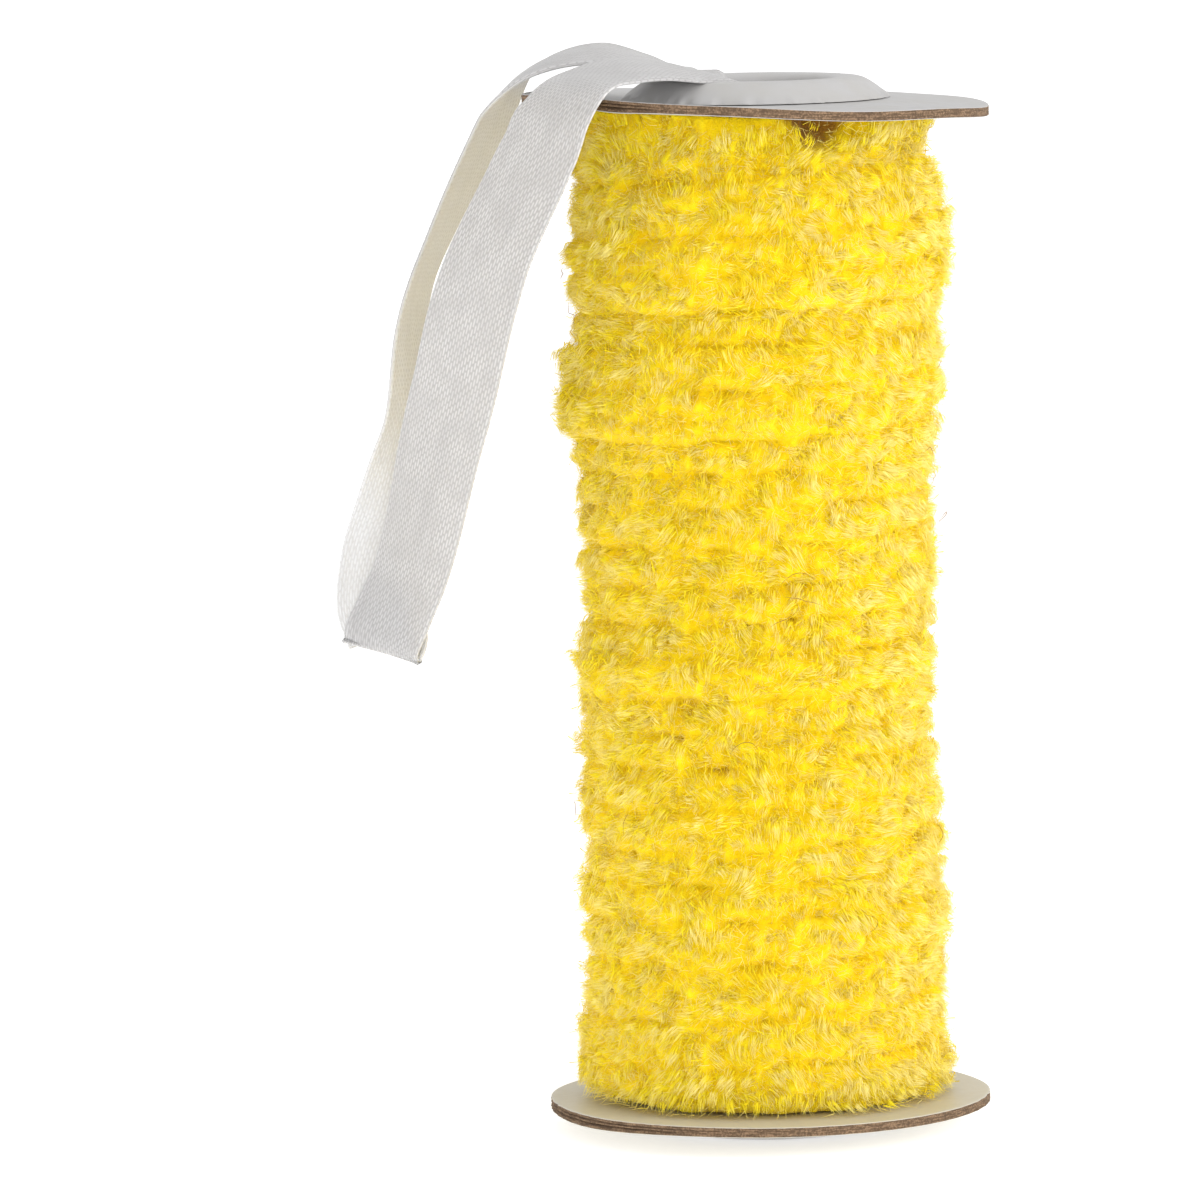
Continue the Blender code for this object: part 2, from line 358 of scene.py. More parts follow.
def settings(name):
    return getattr(bpy.context.scene, name)


# Meshes


def to_frame(points):
    """Millimetres about the spool's axis to metres in the frame."""
    return (np.asarray(points, dtype=np.float64) + (AXIS_X, 0.0, 0.0)) * MM


def new_object(name, data):
    made = bpy.data.objects.new(name, data)
    bpy.context.scene.collection.objects.link(made)
    return made


def link_piece(name, mesh, node):
    """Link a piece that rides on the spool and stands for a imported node."""
    piece = new_object(name, mesh)
    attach(piece, BODY)
    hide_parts(node)
    return piece


def new_piece(name, points, faces, materials, node, face_slots=None):
    """Make a smooth piece from points in millimetres."""
    mesh = bpy.data.meshes.new(name)
    mesh.from_pydata(to_frame(points).tolist(), [], faces)
    for material in materials:
        mesh.materials.append(material)
    if face_slots is not None:
        mesh.polygons.foreach_set("material_index", np.asarray(face_slots, dtype=np.int32))
    mesh.shade_smooth()
    mesh.update()
    return link_piece(name, mesh, node)


def angle_from(angles, centre):
    """Signed angle from a centre, within half a turn."""
    return np.remainder(angles - centre + math.pi, 2 * math.pi) - math.pi


def even_angles(count):
    return np.arange(count) * 2 * math.pi / count


def clamp(values):
    return np.clip(values, 0.0, 1.0)


def ring_points(radius, angles, heights):
    """Points about the axis, one in each row."""
    heights = np.broadcast_to(heights, angles.shape)
    return np.column_stack([radius * np.cos(angles), radius * np.sin(angles), heights])


def add_values(mesh, name, values):
    """Store one number at each point, for the materials to read."""
    attribute = mesh.attributes.new(name, "FLOAT", "POINT")
    attribute.data.foreach_set("value", np.asarray(values, dtype=np.float32))


def grid_faces(rows, columns, wrap_rows=False):
    """Quads between closed rows of points."""
    faces = []
    for row in range(rows if wrap_rows else rows - 1):
        here = row * columns
        above = (row + 1) % rows * columns
        for i in range(columns):
            j = (i + 1) % columns
            faces.append((here + i, here + j, above + j, above + i))
    return faces


def ring_piece(name, rings, angles, slots, materials, node):
    """A closed piece from rings of radius and height, with each ring's material."""
    points = [ring_points(radius, angles, height) for radius, height in rings]
    faces = grid_faces(len(rings), len(angles), wrap_rows=True)
    new_piece(name, np.vstack(points), faces, materials, node, np.repeat(slots, len(angles)))


def smooth_route(rows, spans):
    """Points on a smooth curve through the rows, at even shares."""
    rows = np.asarray(rows, dtype=float)
    before = np.vstack([rows[:1], rows[:-2]])
    here = rows[:-1]
    there = rows[1:]
    after = np.vstack([rows[2:], rows[-1:]])
    parts = (np.arange(spans) / spans)[None, :, None]
    bend_in = ((there - before) / 2)[:, None, :]
    bend_out = ((after - here) / 2)[:, None, :]
    curve = here[:, None, :] * (2 * parts**3 - 3 * parts**2 + 1)
    curve = curve + there[:, None, :] * (3 * parts**2 - 2 * parts**3)
    curve = curve + bend_in * (parts**3 - 2 * parts**2 + parts) + bend_out * (parts**3 - parts**2)
    return np.vstack([curve.reshape(-1, rows.shape[1]), rows[-1:]])


def round_waves(seed, angles, heights, wavelengths, radius=PILE_RADIUS):
    """Smooth wandering values, mostly within 1 of 0, that meet themselves round the spool."""
    rng = np.random.default_rng(seed)
    total = np.zeros(np.broadcast(angles, heights).shape)
    for wavelength in wavelengths:
        most = max(1, int(round(2 * math.pi * radius / wavelength)))
        for _ in range(WAVES_EACH):
            slant = rng.uniform(0, 2 * math.pi)
            around = int(round(most * math.cos(slant)))
            rise = 2 * math.pi / wavelength * math.sin(slant)
            total += np.sin(around * angles + rise * heights + rng.uniform(0, 2 * math.pi))
    return total / math.sqrt(WAVES_EACH * len(wavelengths) / 2)


# Materials


def new_node(tree, kind, **options):
    made = tree.nodes.new(kind)
    for option, value in options.items():
        setattr(made, option, value)
    return made


def new_group(name, numbers, colours, outputs):
    """A shader node group, with the sockets that its inside reads and fills."""
    tree = bpy.data.node_groups.new(name, "ShaderNodeTree")
    for title in numbers:
        tree.interface.new_socket(title, in_out="INPUT", socket_type="NodeSocketFloat")
    for title in colours:
        tree.interface.new_socket(title, in_out="INPUT", socket_type="NodeSocketColor")
    for title in outputs:
        kind = "NodeSocketColor" if title == "Color" else "NodeSocketFloat"
        tree.interface.new_socket(title, in_out="OUTPUT", socket_type=kind)
    given = tree.nodes.new("NodeGroupInput").outputs
    result = tree.nodes.new("NodeGroupOutput").inputs
    return tree, given, result


def put_out(tree, result, *sockets):
    """Feed a group's outputs, in their order."""
    for place, socket in zip(result, sockets):
        tree.links.new(socket, place)
    return tree


def feed(tree, socket, value):
    """Link another socket to this one, or give it a plain value."""
    if isinstance(value, bpy.types.NodeSocket):
        tree.links.new(value, socket)
    else:
        socket.default_value = value


def mix_colour(tree, share, first, second):
    mixed = new_node(tree, "ShaderNodeMix", data_type="RGBA")
    for place, value in ((0, share), (6, first), (7, second)):
        feed(tree, mixed.inputs[place], value)
    return mixed.outputs[2]


def math_node(tree, operation, first, second=0.0, third=0.0):
    made = new_node(tree, "ShaderNodeMath", operation=operation)
    for socket, value in zip(made.inputs, (first, second, third)):
        feed(tree, socket, value)
    return made.outputs[0]


def times(tree, first, second):
    return math_node(tree, "MULTIPLY", first, second)


def scaled(tree, value, scale, added):
    return math_node(tree, "MULTIPLY_ADD", value, scale, added)


def away_from_half(tree, value):
    return math_node(tree, "ABSOLUTE", math_node(tree, "SUBTRACT", value, 0.5))


def noise_node(tree, scale, detail, stretch=(1.0, 1.0, 1.0)):
    """Noise in the frame's own place, with its scale in cells to the millimetre."""
    place = new_node(tree, "ShaderNodeTexCoord")
    mapping = new_node(tree, "ShaderNodeMapping")
    mapping.inputs["Scale"].default_value = [share / MM for share in stretch]
    tree.links.new(place.outputs["Object"], mapping.inputs["Vector"])
    return noise_at(tree, mapping.outputs["Vector"], scale, detail)


def noise_at(tree, place, scale, detail):
    noise = new_node(tree, "ShaderNodeTexNoise")
    noise.inputs["Scale"].default_value = scale
    noise.inputs["Detail"].default_value = detail
    tree.links.new(place, noise.inputs["Vector"])
    return noise.outputs["Fac"]


def ranged(tree, value, low, high, new_low=0.0, new_high=1.0):
    made = new_node(tree, "ShaderNodeMapRange", interpolation_type="SMOOTHSTEP")
    for socket, number in zip(made.inputs, (value, low, high, new_low, new_high)):
        feed(tree, socket, number)
    return made.outputs[0]


def fibre_tone_group():
    """Colour of a fibre from the place along it, its depth and its tuft's own tone; partly painted light,
    pale where it stands out and painted shade where it lies deep.
    """
    colours = ("Shade", "Deep", "Middle", "Pale")
    tree, given, result = new_group("Fibre tone", ("Rise", "Tone"), colours, ("Color", "Height"))
    patches = ranged(tree, noise_node(tree, 0.28, 2.0), 0.35, 0.65)
    lift = scaled(tree, given["Tone"], 0.7, -0.27)
    lift = scaled(tree, patches, 0.16, lift)
    height = math_node(tree, "ADD", given["Rise"], lift)
    lowest = ranged(tree, height, -0.9, -0.2)
    low = ranged(tree, height, -0.1, 0.5)
    high = ranged(tree, height, 0.62, 1.1)
    colour = mix_colour(tree, lowest, given["Shade"], given["Deep"])
    colour = mix_colour(tree, low, colour, given["Middle"])
    colour = mix_colour(tree, high, colour, given["Pale"])
    return put_out(tree, result, colour, noise_node(tree, 3.5, 3.0))


def paper_group():
    """Coated paper: faint mottling, fine grain, and a gloss that wanders."""
    outputs = ("Color", "Roughness", "Height")
    tree, given, result = new_group("Coated paper", ("Gloss",), ("Tint", "Stain"), outputs)
    mottle = ranged(tree, noise_node(tree, 0.22, 4.0), 0.4, 0.75, 0.0, 0.5)
    grain = noise_node(tree, 6.0, 4.0)
    dents = noise_node(tree, 0.9, 2.0)
    colour = mix_colour(tree, mottle, given["Tint"], given["Stain"])
    rough = scaled(tree, dents, 0.25, given["Gloss"])
    return put_out(tree, result, colour, rough, scaled(tree, grain, 0.25, dents))


def board_group():
    """Grey-brown board: thin layers seen end on, with paler fibres pulled out of them."""
    tree, given, result = new_group("Board edge", (), ("Board", "Fibre"), ("Color", "Height"))
    layers = noise_node(tree, 1.0, 4.0, stretch=(0.6, 0.6, 7.0))
    specks = noise_node(tree, 5.0, 5.0)
    share = scaled(tree, specks, 0.6, times(tree, layers, 0.6))
    colour = mix_colour(tree, ranged(tree, share, 0.5, 0.78), given["Board"], given["Fibre"])
    return put_out(tree, result, colour, share)


def satin_group():
    """Satin weave: a plain ground, with short threads that float along it, painted lighter as a highlight.
    """
    numbers = ("Across", "Along", "Strength")
    tree, given, result = new_group("Satin weave", numbers, ("Ground", "Float"), ("Color", "Height"))
    across = given["Across"]
    along = given["Along"]

    # Short threads in columns, each column a part of a thread further on
    threads = times(tree, across, 1.0 / THREAD_PITCH)
    column = math_node(tree, "FLOOR", threads)
    beside = math_node(tree, "FRACT", threads)
    uneven = noise_node(tree, 0.7, 2.0)
    shift = scaled(tree, uneven, 0.9, times(tree, column, THREAD_STAGGER))
    steps = math_node(tree, "FRACT", scaled(tree, along, 1.0 / THREAD_LENGTH, shift))
    thread_ends = ranged(tree, away_from_half(tree, steps), 0.48, 0.26)
    thread_sides = ranged(tree, away_from_half(tree, beside), 0.48, 0.1)
    dash = times(tree, thread_ends, thread_sides)
    fade = ranged(tree, noise_node(tree, 0.45, 2.0), 0.3, 0.7, 0.6, 1.0)

    # Long faint streaks of sheen
    streaks = new_node(tree, "ShaderNodeCombineXYZ")
    tree.links.new(times(tree, across, 0.75), streaks.inputs["X"])
    tree.links.new(times(tree, along, 0.03), streaks.inputs["Y"])
    sheen = ranged(tree, noise_at(tree, streaks.outputs["Vector"], 1.0, 2.0), 0.35, 0.65)

    share = scaled(tree, sheen, 0.1, times(tree, times(tree, dash, fade), given["Strength"]))
    colour = mix_colour(tree, share, given["Ground"], given["Float"])
    return put_out(tree, result, colour, dash)


GROUPS = {
    "Fibre tone": fibre_tone_group,
    "Coated paper": paper_group,
    "Board edge": board_group,
    "Satin weave": satin_group,
}


def plain_material(name, shader_values):
    material = bpy.data.materials.new(name)
    material.use_nodes = True
    shader = material.node_tree.nodes["Principled BSDF"]
    for title, value in shader_values.items():
        shader.inputs[title].default_value = value
    return material, shader


def new_material(name, group, inputs, shader_values, bump_distance=0.0):
    """A Principled material fed by one of the shared groups."""
    material, shader = plain_material(name, shader_values)
    tree = material.node_tree
    effect = new_node(tree, "ShaderNodeGroup")
    effect.node_tree = bpy.data.node_groups.get(group) or GROUPS[group]()
    for title, value in inputs.items():
        if isinstance(value, str):
            reader = new_node(tree, "ShaderNodeAttribute", attribute_name=value)
            tree.links.new(reader.outputs["Fac"], effect.inputs[title])
        else:
            effect.inputs[title].default_value = value if isinstance(value, float) else (*value, 1.0)
    tree.links.new(effect.outputs["Color"], shader.inputs["Base Color"])
    if "Roughness" in effect.outputs:
        tree.links.new(effect.outputs["Roughness"], shader.inputs["Roughness"])
    if bump_distance:
        bump = new_node(tree, "ShaderNodeBump")
        bump.inputs["Distance"].default_value = bump_distance * MM
        tree.links.new(effect.outputs["Height"], bump.inputs["Height"])
        tree.links.new(bump.outputs["Normal"], shader.inputs["Normal"])
    return material


def tinted(colour, shares):
    return tuple(channel * share for channel, share in zip(colour, shares))


def paper_material(name, gloss, paper):
    inputs = {"Tint": paper, "Stain": tinted(paper, STAIN_TINT), "Gloss": gloss}
    return new_material(name, "Coated paper", inputs, {}, bump_distance=0.02)


def board_material(name, colour):
    fibre = tuple(channel * FIBRE_LIFT + dust for channel, dust in zip(colour, BOARD_DUST))
    inputs = {"Board": colour, "Fibre": fibre}
    return new_material(name, "Board edge", inputs, {"Roughness": 0.9}, bump_distance=0.12)


# Core tube and its rolled collars


def collar_rings(angles, face, side):
    """Radius and height of a collar's rings, from the bore to its rim, above or below a face."""
    pleats = round_waves(5, angles, 0.0, (3.4, 2.2, 1.5), radius=11.0)
    fray = round_waves(6, angles, 0.0, (4.0, 1.6, 0.9), radius=13.0)
    rings = []
    for radius, rise in smooth_route(COLLAR_OUTLINE, 4):
        on_roll = clamp((radius - ROLL_RADIUS) / 2.0)
        at_rim = clamp((radius - RIM_RADIUS) / 0.8)
        height = rise + 0.005 * pleats * on_roll * (1 - at_rim) + 0.06 * fray * at_rim * (rise > 0.1)
        if side < 0:
            height = np.minimum(height, COLLAR_RISE)
        rings.append((radius + 0.12 * fray * at_rim, face + side * height))
    return rings


def build_tube():
    """Rings from the top collar down the outer wall, round the bottom collar and up the bore."""
    angles = even_angles(TUBE_SEGMENTS)
    top = collar_rings(angles, TOP_FACE, 1)
    bottom = collar_rings(angles, COLLAR_RISE, -1)
    rings = top + [(TUBE_RADIUS, TOP_FACE), (TUBE_RADIUS, COLLAR_RISE)] + bottom[::-1]
    slots = [0] * len(rings)
    slots[len(top)] = 1
    card = settings("card_look")
    materials = [paper_material("collar_paper", 0.24, card.paper), board_material("tube_kraft", card.kraft)]
    ring_piece("paper_collars", rings, angles, slots, materials, "core_tube")


# Card discs


def past_flat(ring_radius, radius):
    """Share of the way from the card's flat middle to its rim."""
    return max(0.0, (ring_radius - CARD_FLAT_RADIUS) / (radius - CARD_FLAT_RADIUS))


def card_bend(radius, angles):
    """How far the top card has bent up at a place."""
    curl = CARD_CURL * np.exp(-((angle_from(angles, CARD_CURL_ANGLE) / CARD_CURL_SPREAD) ** 2))
    return past_flat(radius, TOP_DISC_RADIUS) * (curl - CARD_DIP * np.cos(angles))


def card_flat(radius, angles):
    return np.zeros_like(angles)


def build_disc(name, node, radius, high, bend, split_angle, split_spread, seed, paper):
    """A card disc with paper faces and a cut board edge, whose layers part along one stretch."""
    angles = even_angles(DISC_SEGMENTS)
    split = settings("card_look").split * np.exp(-((angle_from(angles, split_angle) / split_spread) ** 2))
    rough = round_waves(seed, angles, 0.0, (2.4, 1.1, 0.6, 0.35), radius=radius)
    sag = 0.07 * round_waves(seed + 1, angles, 0.0, (40.0, 22.0), radius=radius)

    # Rings from the hole over the upper face, down the edge, and back under to the hole
    face_radii = [INNER_RADIUS, 11.0, CARD_FLAT_RADIUS, 16.0, 18.5, 21.0, radius - 0.35, radius - 0.08]
    rings = []
    for ring_radius in face_radii:
        reach = past_flat(ring_radius, radius)
        rings.append((ring_radius, high + bend(ring_radius, angles) + reach * sag))
    for row, (share, pull, parting) in enumerate(EDGE_ROWS):
        grit = round_waves(seed + 10 + row, angles, 0.0, (1.4, 0.7, 0.4), radius=radius)
        ring_radius = radius - pull - 0.035 * np.abs(grit) - split * parting * 0.8 + 0.03 * rough
        drop = share * CARD_THICKNESS + split * max(0.0, share - 0.4) * 0.9
        rings.append((ring_radius, high - drop + bend(radius, angles) + sag))
    for ring_radius in reversed(face_radii):
        reach = past_flat(ring_radius, radius)
        drop = CARD_THICKNESS + split * 0.54 * reach**3
        rings.append((ring_radius, high - drop + bend(ring_radius, angles) + reach * sag))
    slots = [0] * len(rings)
    for row in range(len(face_radii), len(face_radii) + len(EDGE_ROWS) - 1):
        slots[row] = 1
    board = settings("card_look").board
    materials = [paper_material(name + "_paper", 0.3, paper), board_material(name + "_board", board)]
    ring_piece(name, rings, angles, slots, materials, node)


# Wound pile


def seam_heights():
    heights = np.concatenate([[0.0], np.cumsum([turn[0] for turn in TURNS])])
    return WINDING_LOW + heights * (WINDING_HIGH - WINDING_LOW) / heights[-1]


def turn_values(place, column):
    return np.interp(place, np.arange(len(TURNS)), [turn[column] for turn in TURNS])


def near_top(heights, span):
    return clamp((heights - WINDING_HIGH + span) / span)


def near_low(heights, span):
    return clamp((WINDING_LOW + span - heights) / span)


def winding_place(angles, heights):
    """Reach of the pile and share of the turn's height, at places on the winding."""
    lead = np.remainder(angles - FRONT_ANGLE + math.pi, 2 * math.pi) / (2 * math.pi) - 0.5
    seams = seam_heights()
    up = np.interp(heights, seams, np.arange(len(seams)))
    turn = np.floor(up - lead)
    part = up - lead - turn
    place = 0.6 * (turn + lead) + 0.4 * (up - 0.5)
    reach = turn_values(place, 1)
    reach = reach + turn_values(place, 2) * clamp(-np.cos(angles)) ** 1.5
    reach = reach + turn_values(place, 3) * clamp(np.cos(angles)) ** 1.5
    reach = reach + 0.24 * round_waves(24, angles, heights, (8.0, 4.5))
    rounded = clamp((heights - (WINDING_HIGH - 2.0)) / 2.0) ** 2
    reach = reach + (HIGH_END_RADIUS - reach) * rounded + (LOW_END_RADIUS - reach) * near_low(heights, 1.5)
    return reach, part


def raise_to_card(angles, heights):
    """Heights on the winding, stretched near the top to meet the card's underside."""
    underside = TOP_FACE - CARD_THICKNESS + card_bend(18.5, angles)
    return heights + near_top(heights, 4.0) * (underside - WINDING_HIGH - 0.12)


def card_ceiling(angles):
    return raise_to_card(angles, np.full(len(angles), WINDING_HIGH))


def bare_patch(angles, heights):
    """Where the pile is thin under the top card, right of the front, and the tube shows."""
    away = angle_from(angles, BARE_ANGLE) / BARE_SPREAD
    return clamp((heights - WINDING_HIGH + 3.2) / 2.6) * np.exp(-(away**2))


def valley(angles, heights, part):
    """How far a place lies into the seam between turns, which the pile closes in places."""
    openness = 0.65 + 0.45 * round_waves(22, angles, heights, (24.0, 11.0, 5.0))
    return np.clip(openness, 0.05, 1.4) * np.abs(2 * part - 1) ** 4


def hollow(angles, heights):
    """How deep a place lies in one of the small hollows, from 0 to 1."""
    rng = np.random.default_rng(23)
    places = [(math.radians(right) + FRONT_ANGLE, height, radius) for right, height, radius in HOLLOWS]
    for _ in range(settings("trim_look").hollows):
        away = rng.uniform(math.radians(60), math.radians(300))
        places.append((FRONT_ANGLE + away, rng.uniform(8.0, 98.0), rng.uniform(0.6, 1.2)))
    depth = np.zeros(np.broadcast(angles, heights).shape)
    for angle, height, radius in places:
        aside = angle_from(angles, angle) * PILE_RADIUS
        apart = (aside / 1.9) ** 2 + ((heights - height) / 0.7) ** 2
        depth = np.maximum(depth, np.exp(-apart / radius**2))
    return depth


def build_ground():
    """The dense matted root of the pile, close under its tips."""
    rows, columns = GROUND_ROWS, GROUND_COLUMNS
    ring = even_angles(columns)
    angles, heights = np.meshgrid(ring, np.linspace(WINDING_LOW, WINDING_HIGH, rows))
    reach, part = winding_place(angles, heights)
    lumps = round_waves(21, angles, heights, (3.2, 1.8))
    grit = round_waves(25, angles, heights, (1.1, 0.8))
    depth = valley(angles, heights, part)
    sunk = hollow(angles, heights)
    bare = bare_patch(angles, heights)
    radius = reach - GROUND_DEPTH - 0.9 * depth - 0.5 * sunk + 0.16 * lumps + 0.09 * grit
    radius = radius - 1.8 * near_low(heights, 2.0) - 5.0 * bare
    heights = raise_to_card(angles, heights)
    points = [ring_points(radius.ravel(), angles.ravel(), heights.ravel())]

    # Closed over the tube at the top, down beside it and at the bottom
    points += [ring_points(INNER_RADIUS, ring, heights[-1]), ring_points(INNER_RADIUS, ring, heights[0])]
    faces = grid_faces(rows, columns)
    first = rows * columns
    for i in range(columns):
        j = (i + 1) % columns
        top = (rows - 1) * columns
        faces.append((top + i, top + j, first + j, first + i))
        faces.append((first + i, first + j, first + columns + j, first + columns + i))
        faces.append((first + columns + i, first + columns + j, j, i))
    material = pile_material("pile_ground", bump_distance=0.25)
    piece = new_piece("pile_ground", np.vstack(points), faces, [material], "yarn_winding")
    # Lower rise darkens the ground: painted shade in the seams and hollows, and the brown of the tube on
    # the bare patch
    rise = -0.05 - 0.35 * depth - 0.35 * sunk - 1.6 * bare
    tone = 0.45 + 0.12 * lumps + 0.12 * grit
    add_values(piece.data, "rise", np.concatenate([rise.ravel(), np.full(2 * columns, 0.2)]))
    add_values(piece.data, "tone", np.concatenate([tone.ravel(), np.full(2 * columns, 0.3)]))


def unit(vectors):
    return vectors / np.maximum(np.linalg.norm(vectors, axis=-1, keepdims=True), 1e-9)


def combed_axes(angles, heights, part):
    """Outward and upward directions on the spool, and the way the pile is combed there."""
    zero = np.zeros_like(angles)
    outward = np.stack([np.cos(angles), np.sin(angles), zero], axis=-1)
    sideways = np.stack([-np.sin(angles), np.cos(angles), zero], axis=-1)
    upward = np.stack([zero, zero, zero + 1.0], axis=-1)
    up = 0.3 * (2 * part - 1) - 0.45 + 0.5 * round_waves(42, angles, heights, (14.0, 6.0, 3.4))
    up = up - 0.9 * near_low(heights, 4.0) + 1.7 * near_top(heights, 6.0)
    aside = 0.12 + 0.35 * np.cos(angles) + 0.5 * round_waves(41, angles, heights, (18.0, 7.0, 3.8))
    return outward, upward, upward * up[:, None] + sideways * aside[:, None]


def scatter_locks(count, seed):
    """Evenly spread places on the winding, a little out of line."""
    rng = np.random.default_rng(seed)
    index = np.arange(count)
    golden = (math.sqrt(5) - 1) / 2
    angles = 2 * math.pi * np.remainder(index * golden, 1.0) + rng.normal(0, 0.02, count)
    heights = WINDING_LOW + (index + 0.5) / count * (WINDING_HIGH - WINDING_LOW)
    heights = heights + rng.normal(0, 0.35, count)
    return angles, np.clip(heights, WINDING_LOW, WINDING_HIGH), rng


def fibre_mesh(name, roots, tips, widths, rises, tones, seed, material, bends=None):
    """One mesh of fibres: tapered blades, or bent ones that are widest at the bend."""
    count = len(roots)
    rng = np.random.default_rng(seed)
    way = unit(tips - roots)
    facing = unit(tips * (1, 1, 0)) * FIBRE_FACING + rng.normal(0, 1, (count, 3))
    side = unit(np.cross(way, facing)) * (widths / 2)[:, None]
    inward = np.sum(np.cross(side, way) * tips * (1, 1, 0), axis=1) < 0
    side[inward] *= -1
    if bends is None:
        points = np.stack([roots - side, roots + side, tips], axis=1)
        values = rises[:, (0, 0, 1)]
        pattern = np.array([0, 1, 2])
    else:
        middle = roots * 0.62 + tips * 0.38 + bends
        points = np.stack([roots, middle - side, middle + side, tips], axis=1)
        halfway = rises.mean(axis=1)
        values = np.column_stack([rises[:, 0], halfway, halfway, rises[:, 1]])
        pattern = np.array([0, 2, 1, 1, 2, 3])
    corners = points.shape[1]
    loops = (np.arange(count)[:, None] * corners + pattern).ravel()
    mesh = bpy.data.meshes.new(name)
    mesh.vertices.add(count * corners)
    mesh.vertices.foreach_set("co", to_frame(points.reshape(-1, 3)).astype(np.float32).ravel())
    mesh.loops.add(len(loops))
    mesh.loops.foreach_set("vertex_index", loops.astype(np.int32))
    mesh.polygons.add(len(loops) // 3)
    mesh.polygons.foreach_set("loop_start", np.arange(len(loops) // 3, dtype=np.int32) * 3)
    mesh.update(calc_edges=True)
    mesh.materials.append(material)
    add_values(mesh, "rise", values.ravel())
    add_values(mesh, "tone", np.repeat(tones, corners))
    link_piece(name, mesh, "yarn_winding")


def pile_material(name, bump_distance=0.0):
    look = settings("trim_look")
    inputs = {
        "Rise": "rise",
        "Tone": "tone",
        "Shade": look.shade,
        "Deep": look.deep,
        "Middle": look.middle,
        "Pale": look.pale,
    }
    return new_material(name, "Fibre tone", inputs, PILE_FINISH, bump_distance)


def build_pile():
    """Tufts of fibres whose tips lie on the winding's surface, in bands up the spool."""
    look = settings("trim_look")
    angles, heights, rng = scatter_locks(look.locks, 31)
    count = len(angles)
    reach, part = winding_place(angles, heights)
    sunk = hollow(angles, heights)
    bare = bare_patch(angles, heights)
    depth = valley(angles, heights, part)
    outward, upward, combed = combed_axes(angles, heights, part)
    lift = round_waves(43, angles, heights, (7.0, 3.0, 1.6))
    lean = unit(0.95 * outward + combed + rng.normal(0, 0.15, (count, 3)))
    surface = reach - look.seam_depth * depth - 0.6 * sunk + 0.16 * lift + rng.normal(0, 0.14, count)
    surface = surface - OUT_OF_SIGHT * (bare > rng.uniform(0.15, 0.9, count))
    surface = surface + near_low(heights, 1.2) * rng.uniform(-0.8, 1.3, count)
    tips = outward * surface[:, None] + upward * raise_to_card(angles, heights)[:, None]
    lengths = look.fibre_length * rng.uniform(0.7, 1.3, count) * (1 - 0.15 * depth)
    # Painted sheen: the tufts turn paler towards the right, where the key light falls, and a little towards
    # the left
    painted_side_sheen = 0.34 * clamp(np.cos(angles)) + 0.1 * clamp(-np.cos(angles))
    tones = clamp(0.48 + painted_side_sheen + 0.17 * lift + rng.normal(0, 0.05, count))

    # The fibres of each tuft, spread about its tip and root
    per = look.fibres_per_lock
    spread = unit(np.cross(lean[:, None, :], rng.normal(0, 1, (count, per, 3))))
    root_offset = spread * (TUFT_RADIUS * np.sqrt(rng.uniform(0, 1, (count, per, 1))))
    tip_offset = root_offset * rng.uniform(0.3, 1.0, (count, per, 1))
    tip_offset = tip_offset + rng.normal(0, 0.09, (count, per, 3))
    shorter = rng.uniform(-0.1, 0.8, (count, per, 1))
    tip = tips[:, None, :] + tip_offset - lean[:, None, :] * shorter
    root = tips[:, None, :] - (lean * lengths[:, None])[:, None, :] + root_offset
    bend = outward * 0.16 + rng.normal(0, 0.07, (count, 3)) - combed * 0.12
    bend = bend[:, None, :] * rng.uniform(0.4, 1.4, (count, per, 1))
    root[..., 2] = np.maximum(root[..., 2], BOTTOM_FACE + ROOT_GAP)
    lowest = BOTTOM_FACE + rng.uniform(TIP_GAP, 0.5, (count, per))
    tip[..., 2] = np.clip(tip[..., 2], lowest, card_ceiling(angles)[:, None])
    width = look.fibre_width * rng.uniform(0.7, 1.3, (count, per))
    # Painted shade: fibres darker in the seams and hollows and where a tip is set back into the pile;
    # darker also towards the bare patch
    dark = 0.3 * depth + 0.35 * sunk + 0.6 * bare
    low = (0.2 - dark)[:, None] + rng.normal(0, 0.08, (count, per))
    high = (0.95 - dark)[:, None] + rng.normal(0, 0.12, (count, per)) - 0.2 * shorter[..., 0]
    rise = np.stack([low, high], axis=-1)

    material = pile_material("pile_fibres")
    band = np.minimum((np.arange(count) * BANDS) // count, BANDS - 1)
    for i in range(BANDS):
        chosen = band == i
        fibre_mesh(
            f"pile_band_{i + 1}", root[chosen].reshape(-1, 3), tip[chosen].reshape(-1, 3),
            width[chosen].ravel(), rise[chosen].reshape(-1, 2), np.repeat(tones[chosen], per),
            61 + i, material, bends=bend[chosen].reshape(-1, 3))


